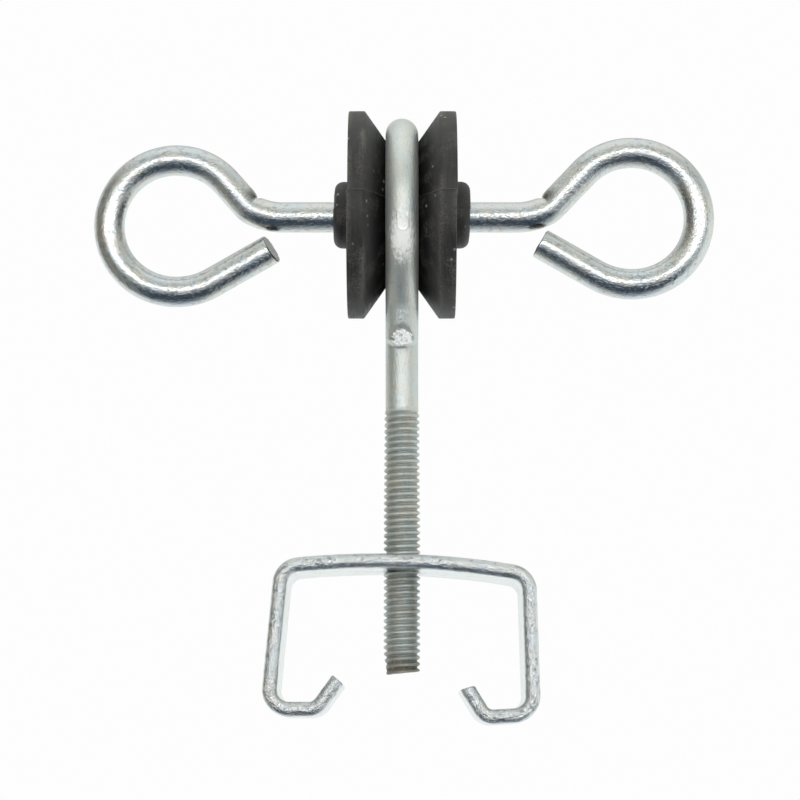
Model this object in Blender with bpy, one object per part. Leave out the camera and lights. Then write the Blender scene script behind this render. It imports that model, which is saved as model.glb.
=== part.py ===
"""Insulated gate anchor for a steel T-post: a welded eye bolt, a moulded spool insulator,
a rod with a ring at each end, and a hooked post clip that the bolt screws through.

Metres, +Z up. The bolt stands along Z and the spool's axis lies along X. The origin is on
the bolt's axis, level with the tips of the clip's hooks, where a post's flange is gripped.
"""

import math

import bmesh
import bpy
from mathutils import Matrix, Vector

MM = 0.001
RUNNING_GAP = 0.15 * MM

# Where the main features stand on the bolt's axis
SPOOL_AXIS_Z = 102.3 * MM
WEB_TOP_Z = 27.3 * MM
BOLT_TIP_Z = 2.5 * MM
THREAD_TOP_Z = 59.3 * MM

# Eye bolt: 5/16 in thread rolled on a smaller blank, the thread drawn as its major diameter
THREAD_RADIUS = 3.97 * MM
SHANK_RADIUS = 3.55 * MM
TIP_CHAMFER = 0.6 * MM
THREAD_RUNOUT = 1.4 * MM
EYE_RADIUS = 17.5 * MM
EYE_NECK_BELOW_AXIS = 28.3 * MM
EYE_TAIL_LENGTH = 15.5 * MM
WELD_SIZE = Vector((2.6, 3.0, 2.9)) * MM
WELD_CENTRE = Vector((0.0, -4.8, -27.4)) * MM

# Loop rod: its straight part lies low in the spool's bore
ROD_RADIUS = 3.32 * MM
ROD_DROP = 0.5 * MM
RING_RADIUS = 14.6 * MM
LEFT_END = {"straight": 26.2 * MM, "ring": Vector((-49.4, -2.4)) * MM, "tail": 14.9 * MM}
RIGHT_END = {"straight": 25.2 * MM, "ring": Vector((50.4, -0.7)) * MM, "tail": 14.0 * MM}
RING_OPENING_RADIUS = 15.6 * MM
RING_OPENING_TURN = math.radians(45)

# The neck of a bent eye or ring: a slow curve, then a tight bend, then straight to the ring
EYE_NECK = {"curve": 24 * MM, "turn": math.radians(14), "bend": 5.6 * MM}
ROD_NECK = {"curve": 14 * MM, "turn": math.radians(27), "bend": 4.6 * MM}
EYE_TAIL_HEADING = math.radians(36)
RING_TAIL_HEADING = math.radians(30)

# Spool insulator, half of its profile from the middle plane outward
FLANGE_RADIUS = 22.65 * MM
FLANGE_OUTER_X = 11.7 * MM
FLANGE_EDGE = 0.45 * MM
HUB_RADIUS = 7.3 * MM
HUB_END_X = 14.8 * MM
HUB_ROUND = 1.9 * MM
BORE_RADIUS = 4.15 * MM
BORE_CHAMFER = 0.4 * MM
GROOVE_HALF_ANGLE = math.radians(35.4)
GROOVE_FLOOR_RADIUS = 13.3 * MM

# Post clip: 1 in by 1/8 in strip, bent to a C, hanging a little off square on the bolt
STRIP_WIDTH = 25.4 * MM
STRIP_THICKNESS = 3.175 * MM
STRIP_EDGE = 0.5 * MM
CLIP_ROLL = math.radians(1.9)
CLIP_OFF_CENTRE = 0.8 * MM
WEB_ARCH_RADIUS = 176 * MM
WEB_HALF_TURN = math.radians(7.42)
CLIP_CORNER_RADIUS = 4.2 * MM
LEG_SPLAY = math.radians(3.45)
HOOK_BEND_RADIUS = 4.2 * MM
HOOK_TIP_RADIUS = 3.2 * MM
LEFT_HOOK = {"leg": 22.1 * MM, "floor_slope": math.radians(2), "floor": 4.1 * MM,
             "tip_slope": math.radians(56), "tip": 6.0 * MM}
RIGHT_HOOK = {"leg": 21.9 * MM, "floor_slope": math.radians(-5), "floor": 4.2 * MM,
              "tip_slope": math.radians(57), "tip": 5.3 * MM}
DRILL_LENGTH = 20 * MM

# Finest faces and edges
WIRE_SIDES = 16
SPOOL_SIDES = 56
HOLE_SIDES = 32
BEND_STEP = math.radians(9)
HUB_ROUND_STEPS = 4
EDGE_STEPS = 2
WELD_SUBDIVISIONS = 2
MERGE_DISTANCE = 1e-7
SHARP_EDGE = math.radians(50)
SPOOL_CREASE = math.radians(30)
CLIP_CREASE = math.radians(35)

ZINC = ((0.66, 0.68, 0.68, 1.0), 0.28, 1.0)
BLACK_PLASTIC = ((0.028, 0.029, 0.027, 1.0), 0.5, 0.0)


def clear_scene():
    for old in list(bpy.data.objects):
        bpy.data.objects.remove(old)


def make_material(name, colour, roughness, metallic):
    material = bpy.data.materials.new(name)
    material.use_nodes = True
    shader = material.node_tree.nodes["Principled BSDF"]
    shader.inputs["Base Color"].default_value = colour
    shader.inputs["Roughness"].default_value = roughness
    shader.inputs["Metallic"].default_value = metallic
    return material


def add_object(name, mesh, look):
    mesh.name = name
    mesh.materials.clear()
    mesh.materials.append(make_material(name + "_finish", *look))
    part = bpy.data.objects.new(name, mesh)
    bpy.context.scene.collection.objects.link(part)
    return part


def shade_round(mesh, crease):
    mesh.shade_smooth()
    mesh.set_sharp_from_angle(angle=crease)


def pointing(heading):
    return Vector((math.cos(heading), math.sin(heading)))


def walk_bends(start, heading, steps):
    """Points along a bent bar in its own plane, each with the heading there.

    A step is (length, 0) for a straight run, or (radius, turn) for a bend, where a
    positive turn goes anticlockwise.
    """
    points = [(start.copy(), heading)]
    here = start.copy()
    for size, turn in steps:
        if turn == 0:
            here = here + pointing(heading) * size
            points.append((here.copy(), heading))
            continue
        side = math.copysign(1.0, turn)
        centre = here + pointing(heading + side * math.pi / 2) * size
        pieces = max(2, math.ceil(abs(turn) / BEND_STEP))
        for piece in range(1, pieces + 1):
            now = heading + turn * piece / pieces
            here = centre - pointing(now + side * math.pi / 2) * size
            points.append((here.copy(), now))
        heading += turn
    return points


def bend_neck(neck, neck_start, ring_centre, ring_radius):
    """Bends that lead a bar heading along -X from neck_start into a ring, and the heading there.

    The neck turns clockwise to meet the ring on a common tangent. The ring then runs
    anticlockwise, and its straight tail comes back under the neck.
    """
    curve = (neck["curve"], -neck["turn"])
    entry = walk_bends(neck_start, math.pi, [curve])[-1]
    bend_centre = entry[0] + pointing(entry[1] - math.pi / 2) * neck["bend"]
    between = ring_centre - bend_centre
    lean = math.asin((ring_radius + neck["bend"]) / between.length)
    heading = math.atan2(between.y, between.x) % math.tau - lean
    bend = (neck["bend"], heading - entry[1])
    straight = (between.length * math.cos(lean), 0)
    return [curve, bend, straight], heading


def bar_mesh(name, places, radii):
    """A round bar along a line of places, with a flat cap at each end."""
    curve = bpy.data.curves.new(name, "CURVE")
    curve.dimensions = "3D"
    curve.bevel_depth = 1.0
    curve.bevel_resolution = WIRE_SIDES // 4 - 1
    curve.use_fill_caps = True
    spline = curve.splines.new("POLY")
    spline.points.add(len(places) - 1)
    for point, place, radius in zip(spline.points, places, radii):
        point.co = (*place, 1.0)
        point.radius = radius
    holder = bpy.data.objects.new(name, curve)
    bpy.context.scene.collection.objects.link(holder)
    bpy.context.view_layer.update()
    mesh = bpy.data.meshes.new_from_object(holder)
    bpy.data.objects.remove(holder)
    work = bmesh.new()
    work.from_mesh(mesh)
    bmesh.ops.remove_doubles(work, verts=work.verts, dist=MERGE_DISTANCE)
    bmesh.ops.recalc_face_normals(work, faces=work.faces)
    work.to_mesh(mesh)
    work.free()
    shade_round(mesh, SHARP_EDGE)
    return mesh


def apply_boolean(part, other, operation):
    """Joins other to part, or cuts it away, and keeps the result as part's own mesh."""
    modifier = part.modifiers.new(operation.lower(), "BOOLEAN")
    modifier.object = other
    modifier.operation = operation
    modifier.solver = "EXACT"
    bpy.context.view_layer.update()
    result = bpy.data.meshes.new_from_object(
        part.evaluated_get(bpy.context.evaluated_depsgraph_get())
    )
    part.modifiers.clear()
    part.data = result
    bpy.data.objects.remove(other)


def build_eye_bolt():
    """The bolt, drawn in its bending plane with x down the bolt, y towards the back."""
    neck_start = Vector((EYE_NECK_BELOW_AXIS, 0.0))
    steps, heading = bend_neck(EYE_NECK, neck_start, Vector((0.0, 0.0)), EYE_RADIUS)
    steps.append((EYE_RADIUS, EYE_TAIL_HEADING + math.tau - heading))
    steps.append((EYE_TAIL_LENGTH, 0))
    tip = SPOOL_AXIS_Z - BOLT_TIP_Z
    thread_top = SPOOL_AXIS_Z - THREAD_TOP_Z
    shaft = [
        (tip, THREAD_RADIUS - TIP_CHAMFER),
        (tip - TIP_CHAMFER, THREAD_RADIUS),
        (thread_top + THREAD_RUNOUT, THREAD_RADIUS),
        (thread_top, SHANK_RADIUS),
    ]
    flat = [Vector((along, 0.0)) for along, radius in shaft]
    radii = [radius for along, radius in shaft]
    for point, heading in walk_bends(neck_start, math.pi, steps):
        flat.append(point)
        radii.append(SHANK_RADIUS)
    places = [Vector((0.0, point.y, SPOOL_AXIS_Z - point.x)) for point in flat]
    bolt = add_object("eye_bolt", bar_mesh("eye_bolt", places, radii), ZINC)
    apply_boolean(bolt, make_weld(), "UNION")
    shade_round(bolt.data, SHARP_EDGE)
    return bolt


def make_weld():
    """The bead that closes the eye where its tail meets the shank."""
    bead = bpy.data.meshes.new("weld")
    work = bmesh.new()
    bmesh.ops.create_icosphere(work, subdivisions=WELD_SUBDIVISIONS, radius=1.0)
    bmesh.ops.scale(work, vec=WELD_SIZE, verts=work.verts)
    bmesh.ops.translate(work, vec=WELD_CENTRE + Vector((0, 0, SPOOL_AXIS_Z)), verts=work.verts)
    work.to_mesh(bead)
    work.free()
    weld = bpy.data.objects.new("weld", bead)
    bpy.context.scene.collection.objects.link(weld)
    return weld


def spool_half_profile():
    """Outline of one half of the spool as (x, radius), from the groove's floor to the bore."""
    wall_gap = (SHANK_RADIUS + RUNNING_GAP) / math.cos(GROOVE_HALF_ANGLE)
    slope = math.tan(GROOVE_HALF_ANGLE)
    floor_x = wall_gap - (EYE_RADIUS - GROOVE_FLOOR_RADIUS) * slope
    rim_x = wall_gap + (FLANGE_RADIUS - EYE_RADIUS) * slope
    outline = [
        (0.0, GROOVE_FLOOR_RADIUS),
        (floor_x, GROOVE_FLOOR_RADIUS),
        (rim_x - FLANGE_EDGE * slope, FLANGE_RADIUS - FLANGE_EDGE),
        (rim_x + FLANGE_EDGE, FLANGE_RADIUS),
        (FLANGE_OUTER_X - FLANGE_EDGE, FLANGE_RADIUS),
        (FLANGE_OUTER_X, FLANGE_RADIUS - FLANGE_EDGE),
        (FLANGE_OUTER_X, HUB_RADIUS),
    ]
    for step in range(HUB_ROUND_STEPS + 1):
        angle = math.pi / 2 * step / HUB_ROUND_STEPS
        outline.append((
            HUB_END_X - HUB_ROUND + HUB_ROUND * math.sin(angle),
            HUB_RADIUS - HUB_ROUND + HUB_ROUND * math.cos(angle),
        ))
    outline.append((HUB_END_X, BORE_RADIUS + BORE_CHAMFER))
    outline.append((HUB_END_X - BORE_CHAMFER, BORE_RADIUS))
    return outline


def build_spool():
    """The spool, turned about its axis: the full outline is one half and its mirror image."""
    half = spool_half_profile()
    outline = half + [(-x, radius) for x, radius in reversed(half[1:])]
    work = bmesh.new()
    ring = [work.verts.new((x, 0.0, radius)) for x, radius in outline]
    edges = [work.edges.new((a, b)) for a, b in zip(ring, ring[1:] + ring[:1])]
    bmesh.ops.spin(work, geom=ring + edges, axis=(1, 0, 0), cent=(0, 0, 0), steps=SPOOL_SIDES,
                   angle=math.tau, use_merge=True)
    bmesh.ops.remove_doubles(work, verts=work.verts, dist=MERGE_DISTANCE)
    bmesh.ops.recalc_face_normals(work, faces=work.faces)
    mesh = bpy.data.meshes.new("spool_insulator")
    work.to_mesh(mesh)
    work.free()
    shade_round(mesh, SPOOL_CREASE)
    spool = add_object("spool_insulator", mesh, BLACK_PLASTIC)
    spool.location = (0, 0, SPOOL_AXIS_Z)
    return spool


def half_rod(end):
    """One half of the rod, from the spool's middle out to the ring's cut end, drawn along -X.

    The last part of the ring opens a little wider, which draws its tail away from the neck.
    """
    start = Vector((0.0, -ROD_DROP))
    neck_start = Vector((-end["straight"], -ROD_DROP))
    ring_centre = Vector((-abs(end["ring"].x), end["ring"].y))
    steps, heading = bend_neck(ROD_NECK, neck_start, ring_centre, RING_RADIUS)
    steps.append((RING_RADIUS, RING_TAIL_HEADING + math.tau - heading - RING_OPENING_TURN))
    steps.append((RING_OPENING_RADIUS, RING_OPENING_TURN))
    steps.append((end["tail"], 0))
    return [start] + [point for point, heading in walk_bends(neck_start, math.pi, steps)]


def build_loop_rod():
    left = half_rod(LEFT_END)
    right = half_rod(RIGHT_END)
    flat = left[:0:-1] + [Vector((-point.x, point.y)) for point in right]
    places = [Vector((point.x, 0.0, point.y)) for point in flat]
    rod = add_object("loop_rod", bar_mesh("loop_rod", places, [ROD_RADIUS] * len(places)), ZINC)
    rod.location = (0, 0, SPOOL_AXIS_Z)
    return rod


def clip_side(hook):
    """Middle line of one side of the clip, from the web's centre to the hook's tip, drawn to +X."""
    down = -math.pi / 2 + LEG_SPLAY
    floor = -math.pi - hook["floor_slope"]
    tip = -math.pi - hook["tip_slope"]
    start = Vector((0.0, -STRIP_THICKNESS / 2))
    return walk_bends(start, 0.0, [
        (WEB_ARCH_RADIUS, -WEB_HALF_TURN),
        (CLIP_CORNER_RADIUS, down + WEB_HALF_TURN),
        (hook["leg"], 0),
        (HOOK_BEND_RADIUS, floor - down),
        (hook["floor"], 0),
        (HOOK_TIP_RADIUS, tip - floor),
        (hook["tip"], 0),
    ])


def clip_centre_line():
    """The whole middle line from the left tip to the right one, as (point, normal) pairs."""
    line = []
    for point, heading in reversed(clip_side(LEFT_HOOK)[1:]):
        normal = pointing(heading + math.pi / 2)
        line.append((Vector((-point.x, point.y)), Vector((-normal.x, normal.y))))
    for point, heading in clip_side(RIGHT_HOOK):
        line.append((point, pointing(heading + math.pi / 2)))
    return line


def strip_mesh():
    """The bent strip before it is tilted, with the web's top centre at its origin."""
    work = bmesh.new()
    rows = []
    for point, normal in clip_centre_line():
        row = []
        for side in (1, -1):
            edge = point + normal * (side * STRIP_THICKNESS / 2)
            row.append(work.verts.new((edge.x, -STRIP_WIDTH / 2, edge.y)))
        rows.append(row)
    strip = [work.faces.new((a[0], a[1], b[1], b[0])) for a, b in zip(rows, rows[1:])]
    swept = bmesh.ops.extrude_face_region(work, geom=strip)
    moved = [item for item in swept["geom"] if isinstance(item, bmesh.types.BMVert)]
    bmesh.ops.translate(work, vec=(0, STRIP_WIDTH, 0), verts=moved)
    bmesh.ops.recalc_face_normals(work, faces=work.faces)
    mesh = bpy.data.meshes.new("post_clip")
    work.to_mesh(mesh)
    work.free()
    return mesh


def make_drill():
    """A cylinder on the bolt's axis, a running gap wider than the thread, through the web."""
    mesh = bpy.data.meshes.new("drill")
    radius = THREAD_RADIUS + RUNNING_GAP
    work = bmesh.new()
    bmesh.ops.create_cone(work, cap_ends=True, segments=HOLE_SIDES, radius1=radius, radius2=radius,
                          depth=DRILL_LENGTH)
    bmesh.ops.translate(work, vec=(0, 0, WEB_TOP_Z), verts=work.verts)
    work.to_mesh(mesh)
    work.free()
    drill = bpy.data.objects.new("drill", mesh)
    bpy.context.scene.collection.objects.link(drill)
    return drill


def build_post_clip():
    """The clip leans on the bolt, so that one hook hangs lower than the other."""
    mesh = strip_mesh()
    shift = Matrix.Translation((CLIP_OFF_CENTRE, 0, 0))
    lean = Matrix.Rotation(CLIP_ROLL, 4, "Y")
    lift = Matrix.Translation((0, 0, WEB_TOP_Z))
    mesh.transform(lift @ lean @ shift)
    clip = add_object("post_clip", mesh, ZINC)
    bevel = clip.modifiers.new("rolled edge", "BEVEL")
    bevel.width = STRIP_EDGE
    bevel.segments = EDGE_STEPS
    bevel.limit_method = "ANGLE"
    bevel.angle_limit = SHARP_EDGE
    apply_boolean(clip, make_drill(), "DIFFERENCE")
    shade_round(clip.data, CLIP_CREASE)
    return clip


def main():
    clear_scene()
    build_eye_bolt()
    build_spool()
    build_loop_rod()
    build_post_clip()


main()
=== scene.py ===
"""Looks of the insulated gate anchor: zinc-plated eye bolt, ring-ended rod and post clip,
and a moulded black spool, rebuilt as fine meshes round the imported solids.

Shapes are worked out in millimetres in the model's own frame, +Z up and -Y to the front, and
become metres when a mesh is made.
"""

import math

import bmesh
import bpy
from mathutils import Matrix, Vector, noise


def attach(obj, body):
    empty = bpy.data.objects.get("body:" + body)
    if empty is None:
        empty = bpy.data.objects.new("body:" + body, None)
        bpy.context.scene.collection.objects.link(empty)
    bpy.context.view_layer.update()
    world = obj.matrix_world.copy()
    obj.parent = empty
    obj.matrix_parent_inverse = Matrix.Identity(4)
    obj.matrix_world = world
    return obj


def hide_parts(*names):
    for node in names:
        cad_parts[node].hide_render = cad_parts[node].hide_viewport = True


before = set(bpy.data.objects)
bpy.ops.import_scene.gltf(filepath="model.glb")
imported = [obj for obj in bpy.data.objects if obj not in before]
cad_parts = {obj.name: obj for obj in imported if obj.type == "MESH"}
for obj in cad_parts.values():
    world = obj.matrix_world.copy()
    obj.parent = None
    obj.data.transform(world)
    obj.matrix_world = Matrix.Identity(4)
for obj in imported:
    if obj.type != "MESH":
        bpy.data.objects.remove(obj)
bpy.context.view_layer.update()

MM = 0.001

# Where the main features stand on the bolt's axis
SPOOL_AXIS_Z = 102.3
WEB_TOP_Z = 27.3
TIP_Z = 2.5
THREAD_TOP_Z = 59.45

# Eye bolt: a rolled 5/16-18 thread on a thinner blank
SHANK_RADIUS = 3.55
PITCH = 25.4 / 18
ROOT_RADIUS = 3.24
CREST_RADIUS_TOP = 3.80
CREST_RADIUS = 3.94
CREST_SHARE = 0.16
ROOT_SHARE = 0.04
RUN_IN = 0.4
RUN_OUT = 2.0
NICKS_AROUND = 2.2
NICKS_ALONG = 1.1
NICK_DEPTH = 0.12
TIP_SLANT = 0.32
TIP_SLANT_LENGTH = 1.2
TIP_RIPPLE = 0.16
TIP_CHAMFER = 0.35
TIP_HOLLOW = 0.1
TIP_SHARES = (0.15, 0.4, 0.65, 0.85)
WORN_LENGTH = 5.0
WORN_CREST = 0.12
WORN_CREST_LEFT = 0.42
WORN_NICKS = 0.2
# Darkening of the thread's root: partly dirt, partly painted shade in the hollows
ROOT_DIRT_AND_SHADE = 0.32
TIP_DIRT = 0.6
TIP_DIRT_LENGTH = 6.0
UPPER_DIRT = 0.1
SHANK_UNEVEN = 0.03
EYE_RADIUS = 17.5
EYE_NECK_BELOW_AXIS = 28.3
EYE_TAIL_SLANT = 9.0
EYE_TAIL_BEND = math.radians(24)
EYE_TAIL_BEND_RADIUS = 12.0
EYE_TAIL_END = 6.4
EYE_NECK = {"curve": 24.0, "turn": math.radians(14), "bend": 5.6}
EYE_TAIL_HEADING = math.radians(36)

# U-shaped mark on the front of the eye: centre of its arc, and the painted highlight round it
EYE_FRONT_Y = (-15.0, -16.0)
DIE_MARK = Vector((0.22, 0.0, 96.4))
DIE_MARK_RADIUS = 1.1
DIE_MARK_WIDTH = 0.42
DIE_MARK_HEIGHT = 0.12
DIE_MARK_ARMS = (3.6, 0.8)
PAINTED_HIGHLIGHT = Vector((0.1, 0.0, 94.3))
PAINTED_HIGHLIGHT_SIZE = Vector((3.1, 1.0, 6.6))
ROLLING_LINE_HEIGHT = 0.16
WORN_METAL = 0.78
# Metalness inside the painted highlight
HIGHLIGHT_METAL = 0.25

# Weld at the end of the eye's tail, with centres given from the spool's axis
FACET_TOP_BELOW_AXIS = 25.5
FACET_SLOPE = 0.62
FACET_BAND = 0.4
WELD_CENTRE = Vector((0.0, -7.1, -27.8))
WELD_SIZE = Vector((2.45, 2.4, 1.85))
FILLET_CENTRE = Vector((0.0, -1.6, -27.4))
FILLET_SIZE = Vector((3.4, 4.4, 2.9))
BEAD_LUMPS = 0.2
BEAD_BLOBS = 0.55
BEAD_PIT_LEVEL = 0.25
FILLET_LUMPS = 0.05
LUMP_SUBDIVISIONS = 6
LUMP_CREASE = math.radians(60)

# Ring-ended rod
ROD_RADIUS = 3.32
ROD_DROP = 0.5
RING_RADIUS = 14.6
LEFT_END = {"straight": 26.2, "ring": Vector((-49.4, -2.4)), "tail": 14.9}
RIGHT_END = {"straight": 25.2, "ring": Vector((50.4, -0.7)), "tail": 14.0}
RING_OPENING_RADIUS = 15.6
RING_OPENING_TURN = math.radians(45)
ROD_NECK = {"curve": 14.0, "turn": math.radians(27), "bend": 4.6}
CREASE_DEPTH = 0.55
CREASE_LENGTH = 1.1
RING_TAIL_HEADING = math.radians(30)
LEFT_CUT_TILT = math.radians(14)
CUT_RIPPLE = 0.12
CUT_RIPPLE_RATE = 0.9
ROD_UNEVEN = 0.035
# Where the painted dark reflection lies on the inside of each neck, past its crease
CREASE_STREAK_TURN = 0.8
CREASE_STREAK_START = (-0.3, 0.8)
CREASE_STREAK_END = (4.2, 1.6)

# Spool, half of its profile from the middle plane outward
FLANGE_RADIUS = 22.65
FLANGE_OUTER_X = 11.7
HUB_RADIUS = 7.3
HUB_END_X = 14.8
BORE_RADIUS = 4.15
GROOVE_HALF_ANGLE = math.radians(35.4)
GROOVE_FLOOR_RADIUS = 13.3
RUNNING_GAP = 0.15
PARTING_ANGLE = math.radians(3)
PARTING_STEP = 0.11
PARTING_HALF_WIDTH = math.radians(0.25)
PARTING_OFFSETS = [math.radians(off) for off in (-0.55, -0.25, 0.0, 0.25, 0.55)]
FLASH_HEIGHT = 0.12
FLASH_HALF_WIDTH = math.radians(0.5)
FLASH_START = (0.3, 1.2)
FLASH_RUB = 0.8
RIM_RUB = (0.7, 0.1)
RIM_PATCHES = (-0.2, 0.5)
SPOOL_UNEVEN = 0.05
SPOOL_CREASE = math.radians(32)

# Post clip
STRIP_WIDTH = 25.4
STRIP_THICKNESS = 3.175
STRIP_ROUNDING = 1.42
CLIP_ROLL = math.radians(1.9)
CLIP_OFF_CENTRE = 0.8
WEB_ARCH_RADIUS = 176.0
WEB_HALF_TURN = math.radians(7.42)
CLIP_CORNER_RADIUS = 4.2
LEG_SPLAY = math.radians(3.45)
HOOK_BEND_RADIUS = 4.2
HOOK_TIP_RADIUS = 3.2
HOLE_RADIUS = 4.02
LEFT_TIP_TILT = 0.1
RIGHT_TIP_TILT = 0.25
TIP_REACH = 1.2
STRIP_UNEVEN = 0.05
STRIP_WAVE_RATES = (0.35, 0.7, 0.5)
LEFT_HOOK = {"leg": 22.1, "floor_slope": math.radians(2), "floor": 4.1,
             "tip_slope": math.radians(56), "tip": 6.0}
RIGHT_HOOK = {"leg": 21.9, "floor_slope": math.radians(-5), "floor": 4.2,
              "tip_slope": math.radians(57), "tip": 5.3}

# Finest steps of the meshes
WIRE_SIDES = 64
STRAIGHT_STEP = 0.7
BEND_STEP = math.radians(1.5)
THREAD_STEP = PITCH / 18
SPOOL_STEP = math.radians(2.5)
SPOOL_EDGE = 1.2
ROUNDING_STEPS = 5
STRIP_ROUNDING_STEPS = 6
STRIP_WIDTH_STEPS = 20
CREASE = math.radians(40)
CUT_EDGE = 0.35
CUT_EDGE_STEPS = 4
CUT_FACE_SHARES = (0.3, 0.6, 0.85)
CUT_CLEARANCE = 3.0 * CUT_EDGE
CUT_GRIME = 0.7
STRIP_CUT_GRIME = 0.6 * CUT_GRIME
SLIVER = 0.002
FLAT_RELIEF = 0.3

# Colours of the zinc, of what lies on it, and of the painted shade and highlight on it
COOL_ZINC = (0.70, 0.74, 0.76, 1)
WARM_ZINC = (0.76, 0.75, 0.71, 1)
COOL_STRIP = (0.74, 0.78, 0.80, 1)
WARM_STRIP = (0.78, 0.78, 0.76, 1)
COOL_WORN = (0.66, 0.72, 0.71, 1)
WARM_WORN = (0.73, 0.73, 0.67, 1)
# Near-white of the painted highlight on the front of the eye
HIGHLIGHT_ZINC = (0.99, 1.0, 0.99, 1)
# Soot, also used for the painted shade and the painted dark reflections
SOOT_AND_SHADE = (0.17, 0.165, 0.145, 1)
BLOTCH = (0.17, 0.20, 0.25, 1)
RUST = (0.24, 0.19, 0.12, 1)
STAIN = (0.27, 0.27, 0.21, 1)
WELD_PIT = (0.5, 0.52, 0.53, 1)
WELD_WHITE = (0.95, 0.96, 0.97, 1)

# Colours of the plastic, of its wear, and of the painted shade in its groove
BLACK = (0.014, 0.0135, 0.013, 1)
TOOLED_BLACK = (0.028, 0.027, 0.026, 1)
GROOVE_SHADE_BLACK = (0.004, 0.0045, 0.0045, 1)
SCUFF = (0.12, 0.112, 0.10, 1)
RUBBED_BLACK = (0.20, 0.185, 0.165, 1)
DUST = (0.3, 0.3, 0.28, 1)

# Colours of the room that the metal reflects
DARK = (0.055, 0.075, 0.10)
SHADE = (0.24, 0.27, 0.29)
HAZE = (0.46, 0.50, 0.53)
WINDOW = (2.7, 2.7, 2.68)
BEIGE = (0.58, 0.60, 0.57)
PALE = (0.92, 0.96, 0.95)
BROWN = (0.24, 0.23, 0.20)
GREY = (0.42, 0.43, 0.40)

# Each wall of that room, from straight down to straight up, as (degrees up, colour)
FRONT_WALL = [(-90, SHADE), (-80, DARK), (-30, DARK), (-16, HAZE), (-2, HAZE), (4, WINDOW),
              (12, WINDOW), (17, BEIGE), (50, BEIGE), (66, PALE)]
RIGHT_WALL = [(-90, SHADE), (-50, SHADE), (-20, GREY), (34, GREY), (60, BEIGE), (78, PALE)]
LEFT_WALL = [(-90, SHADE), (-50, SHADE), (-20, BROWN), (34, BROWN), (60, BEIGE), (80, PALE)]
BACK_WALL = [(-90, SHADE), (-72, HAZE), (-50, PALE), (0, PALE), (40, BEIGE), (75, PALE)]

# Studio: the floor in mm, the rest in metres
FLOOR_Z = -45.0
FLOOR_RADIUS = 1.3
FLOOR_FADE = (0.35, 1.15)
BACKDROP = (0.985, 0.985, 0.985, 1)
LIGHT_PLACE = (-0.25, -0.25, 0.95)
LIGHT_SIZE = 0.8
LIGHT_POWER = 7.0
LIGHT_COLOUR = (1.0, 0.965, 0.92)
LIGHT_AIM_Z = 60 * MM
CAMERA_PLACE = (-0.42 * MM, -600 * MM, -15.35 * MM)
CAMERA_TILT = math.radians(97.3)
CAMERA_LENS = 125.4
CAMERA_SENSOR = 36.0


# ---------------------------------------------------------------- outlines and tracks

def pointing(heading):
    return Vector((math.cos(heading), math.sin(heading)))


def blend(low, high, value):
    """0 below low, 1 above high, and a smooth rise between them; low may be the larger."""
    share = min(1.0, max(0.0, (value - low) / (high - low)))
    return share * share * (3 - 2 * share)


def round_the_wire():
    """The angles of the points in one ring."""
    return [math.tau * step / WIRE_SIDES for step in range(WIRE_SIDES)]


def bar_waves(far, angle, along, around):
    """Slow noise over a bar's surface, at a rate for each mm along it and a rate around it."""
    return noise.noise(Vector((far * along, math.cos(angle) * around, math.sin(angle) * around)))


def walk_bends(start, heading, steps):
    """Stations along a bent bar in its own plane, as (point, heading, distance).

    A step is (length, 0) for a straight run, or (radius, turn) for a bend, where a
    positive turn goes anticlockwise.
    """
    track = [(start.copy(), heading, 0.0)]
    for size, turn in steps:
        here, heading, far = track[-1]
        if turn == 0:
            pieces = max(1, math.ceil(size / STRAIGHT_STEP))
            for piece in range(1, pieces + 1):
                gone = size * piece / pieces
                track.append((here + pointing(heading) * gone, heading, far + gone))
            continue
        side = math.copysign(math.pi / 2, turn)
        centre = here + pointing(heading + side) * size
        pieces = max(2, math.ceil(abs(turn) / BEND_STEP))
        for piece in range(1, pieces + 1):
            now = heading + turn * piece / pieces
            gone = size * abs(turn) * piece / pieces
            track.append((centre - pointing(now + side) * size, now, far + gone))
    return track


def bend_neck(neck, neck_start, ring_centre, ring_radius):
    """Bends that lead a bar heading along -X from neck_start into a ring, and the heading there."""
    curve = (neck["curve"], -neck["turn"])
    entry = walk_bends(neck_start, math.pi, [curve])[-1]
    bend_centre = entry[0] + pointing(entry[1] - math.pi / 2) * neck["bend"]
    between = ring_centre - bend_centre
    lean = math.asin((ring_radius + neck["bend"]) / between.length)
    heading = math.atan2(between.y, between.x) % math.tau - lean
    bend = (neck["bend"], heading - entry[1])
    straight = (between.length * math.cos(lean), 0)
    return [curve, bend, straight], heading


def rounded(corners, radii, steps=ROUNDING_STEPS):
    """A closed outline with each corner swapped for an arc of its radius."""
    outline = []
    count = len(corners)
    for index, radius in enumerate(radii):
        corner = Vector(corners[index])
        back = (Vector(corners[index - 1]) - corner).normalized()
        ahead = (Vector(corners[(index + 1) % count]) - corner).normalized()
        if radius == 0:
            outline.append(corner)
            continue
        half = back.angle(ahead) / 2
        centre = corner + (back + ahead).normalized() * (radius / math.sin(half))
        first = corner + back * (radius / math.tan(half)) - centre
        last = corner + ahead * (radius / math.tan(half)) - centre
        sweep = first.angle_signed(last)
        for step in range(steps + 1):
            turn = Matrix.Rotation(-sweep * step / steps, 2)
            outline.append(centre + turn @ first)
    return outline


# ---------------------------------------------------------------- meshes

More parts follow.
